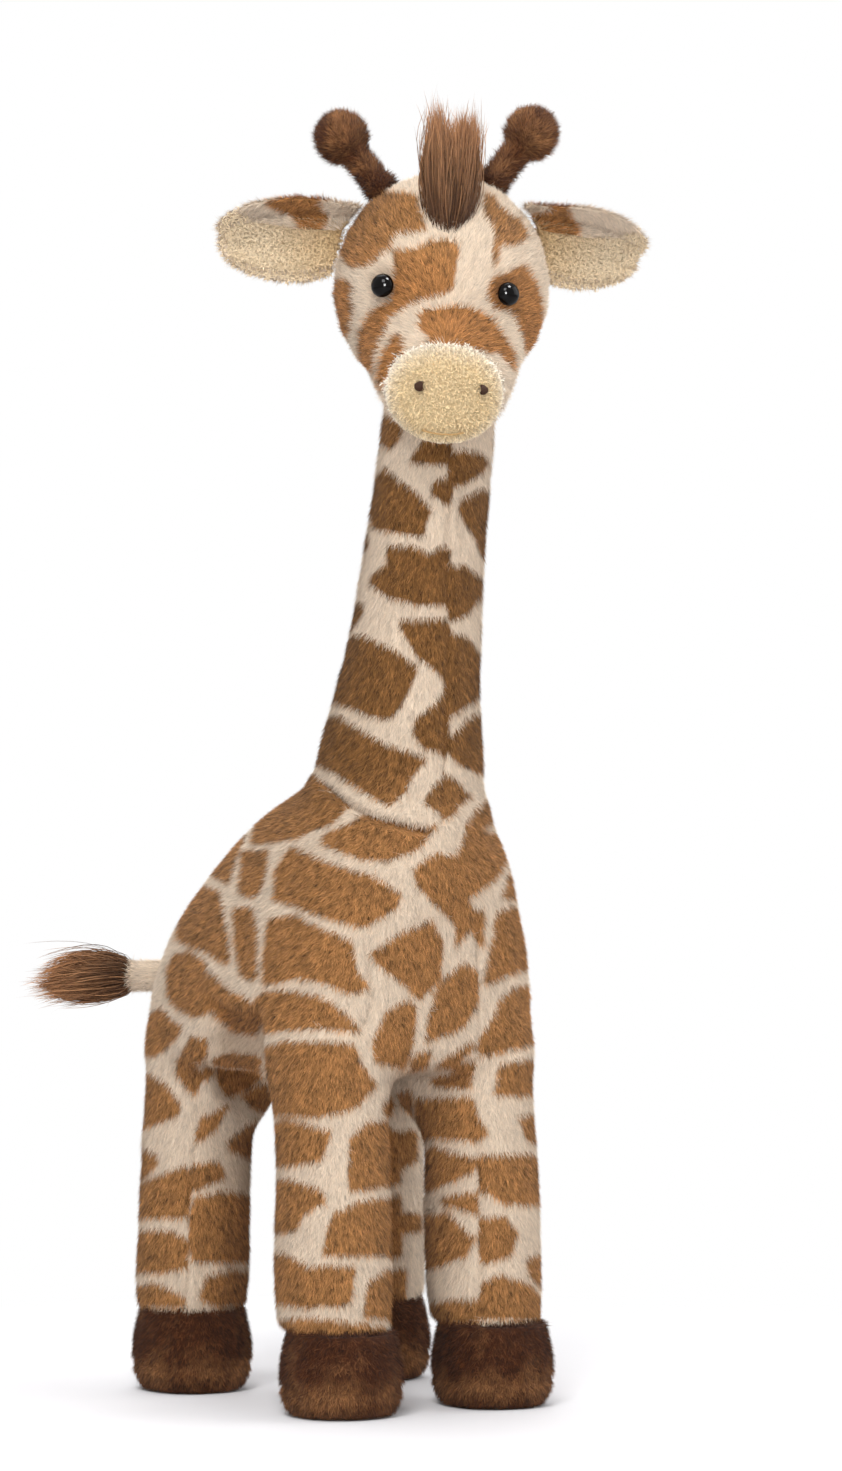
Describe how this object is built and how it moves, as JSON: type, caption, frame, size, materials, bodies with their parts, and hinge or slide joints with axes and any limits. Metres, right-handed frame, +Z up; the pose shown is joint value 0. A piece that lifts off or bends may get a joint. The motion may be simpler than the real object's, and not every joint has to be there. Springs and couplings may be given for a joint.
{
  "type": "plush giraffe",
  "caption": "Standing plush giraffe: long leaning neck, patterned pile, soft rounded hooves, lined ears, knobbed horns, a tall forelock and a tufted tail.",
  "frame": {"origin": "middle of the base of the part's box, on the floor that the soles stand on", "axes": "+Z up, -Y the way the toy's chest faces, +X to the toy's own left"},
  "size_m": [0.1712, 0.2866, 0.5475],
  "materials": {
    "patterned_plush": "short dense pile, cream with brown patches",
    "polyester_filling": "loose white fibre",
    "brown_short_plush": "short dense pile",
    "cream_curly_plush": "short curly pile",
    "brown_long_pile": "long straight pile",
    "black_gloss_plastic": "polished",
    "white_plastic": "moulded",
    "dark_thread": "twisted thread"
  },
  "bodies": {
    "torso": {"torso_cover": "patterned_plush", "torso_filling": "polyester_filling"},
    "neck_lower": {"neck_lower_cover": "patterned_plush", "neck_lower_filling": "polyester_filling"},
    "neck_upper": {"neck_upper_cover": "patterned_plush", "neck_upper_filling": "polyester_filling"},
    "head": {"head_cover": "patterned_plush", "head_filling": "polyester_filling", "muzzle_cover": "cream_curly_plush", "forelock": "brown_long_pile", "eye_left": "black_gloss_plastic", "eye_right": "black_gloss_plastic", "eye_washer_left": "white_plastic", "eye_washer_right": "white_plastic", "nostril_stitch_left": "dark_thread", "nostril_stitch_right": "dark_thread", "mouth_stitch": "dark_thread"},
    "ear_left": {"ear_outer_left": "patterned_plush", "ear_lining_left": "cream_curly_plush"},
    "ear_right": {"ear_outer_right": "patterned_plush", "ear_lining_right": "cream_curly_plush"},
    "horn_left": {"horn_left": "brown_short_plush"},
    "horn_right": {"horn_right": "brown_short_plush"},
    "tail": {"tail_stem": "patterned_plush", "tail_tuft": "brown_long_pile"},
    "front_left_leg": {"front_left_leg_cover": "patterned_plush", "front_left_hoof": "brown_short_plush", "front_left_sole": "brown_short_plush", "front_left_leg_filling": "polyester_filling"},
    "front_right_leg": {"front_right_leg_cover": "patterned_plush", "front_right_hoof": "brown_short_plush", "front_right_sole": "brown_short_plush", "front_right_leg_filling": "polyester_filling"},
    "rear_left_leg": {"rear_left_leg_cover": "patterned_plush", "rear_left_hoof": "brown_short_plush", "rear_left_sole": "brown_short_plush", "rear_left_leg_filling": "polyester_filling"},
    "rear_right_leg": {"rear_right_leg_cover": "patterned_plush", "rear_right_hoof": "brown_short_plush", "rear_right_sole": "brown_short_plush", "rear_right_leg_filling": "polyester_filling"}
  },
  "joints": [
    {"name": "neck_base_bend", "type": "hinge", "parent": "torso", "child": "neck_lower", "pos_m": [-0.00213, -0.04462, 0.243], "axis": [1, 0, 0], "range_deg": [-11, 11], "stiffness_Nm_per_rad": 6},
    {"name": "neck_twist", "type": "hinge", "parent": "neck_lower", "child": "neck_upper", "pos_m": [-0.00213, -0.06626, 0.34063], "axis": [0, -0.2164, 0.9763], "range_deg": [-20, 20], "stiffness_Nm_per_rad": 3},
    {"name": "head_nod", "type": "hinge", "parent": "neck_upper", "child": "head", "pos_m": [-0.00213, -0.08606, 0.42996], "axis": [0.8813, -0.4686, -0.061], "range_deg": [-6, 12], "stiffness_Nm_per_rad": 3},
    {"name": "ear_left_flap", "type": "hinge", "parent": "head", "child": "ear_left", "pos_m": [0.0324, -0.10443, 0.49399], "axis": [0.0968, -0.6602, 0.7448], "range_deg": [-8, 12], "stiffness_Nm_per_rad": 0.04},
    {"name": "ear_right_flap", "type": "hinge", "parent": "head", "child": "ear_right", "pos_m": [-0.03911, -0.0664, 0.49293], "axis": [0.3303, 0.4692, -0.819], "range_deg": [-8, 12], "stiffness_Nm_per_rad": 0.04},
    {"name": "horn_left_bend", "type": "hinge", "parent": "head", "child": "horn_left", "pos_m": [0.01603, -0.09572, 0.51493], "axis": [0.4695, 0.8829, 0], "range_deg": [-14, 14], "stiffness_Nm_per_rad": 0.1},
    {"name": "horn_right_bend", "type": "hinge", "parent": "head", "child": "horn_right", "pos_m": [-0.02554, -0.07362, 0.51248], "axis": [0.4695, 0.8829, 0], "range_deg": [-14, 14], "stiffness_Nm_per_rad": 0.1},
    {"name": "tail_swing", "type": "hinge", "parent": "torso", "child": "tail", "pos_m": [-0.00213, 0.08232, 0.179], "axis": [0, 0, 1], "range_deg": [-100, 4], "stiffness_Nm_per_rad": 0.05},
    {"name": "front_left_leg_swing", "type": "hinge", "parent": "torso", "child": "front_left_leg", "pos_m": [0.03387, -0.05412, 0.1485], "axis": [1, 0, 0], "range_deg": [-8, 8], "stiffness_Nm_per_rad": 4},
    {"name": "front_right_leg_swing", "type": "hinge", "parent": "torso", "child": "front_right_leg", "pos_m": [-0.03813, -0.05412, 0.1485], "axis": [1, 0, 0], "range_deg": [-8, 8], "stiffness_Nm_per_rad": 4},
    {"name": "rear_left_leg_swing", "type": "hinge", "parent": "torso", "child": "rear_left_leg", "pos_m": [0.04037, 0.04788, 0.1485], "axis": [1, 0, 0], "range_deg": [-8, 8], "stiffness_Nm_per_rad": 4},
    {"name": "rear_right_leg_swing", "type": "hinge", "parent": "torso", "child": "rear_right_leg", "pos_m": [-0.04463, 0.04788, 0.1485], "axis": [1, 0, 0], "range_deg": [-8, 8], "stiffness_Nm_per_rad": 4}
  ]
}
